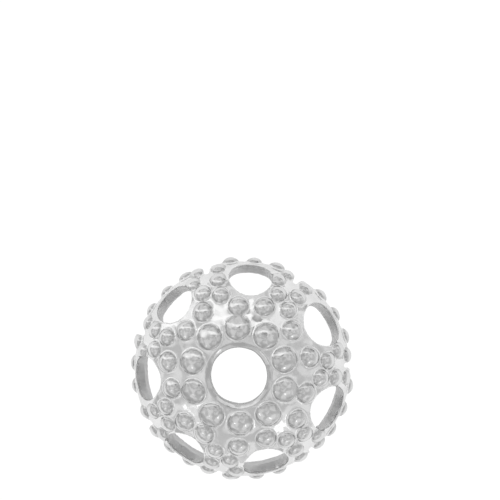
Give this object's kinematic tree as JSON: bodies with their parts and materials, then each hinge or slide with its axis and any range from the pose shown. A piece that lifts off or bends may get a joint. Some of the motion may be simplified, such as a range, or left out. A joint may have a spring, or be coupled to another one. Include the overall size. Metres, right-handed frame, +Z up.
{
  "type": "bead cap",
  "caption": "Low domed bead cap with a large centre hole, round openings through its side, raised round dots all over and a rim notched into lobes.",
  "frame": {"origin": "on the dome's axis, in the plane of the rim that it stands on", "axes": "+Z up along the dome's axis, out through the thread hole; +X towards one side opening; +Y completes the right-handed frame"},
  "size_m": [0.0148, 0.0148, 0.0049],
  "materials": {
    "silver": "bright silver plate over a slightly uneven cast surface"
  },
  "bodies": {
    "root": {"cap": "silver"}
  },
  "joints": []
}
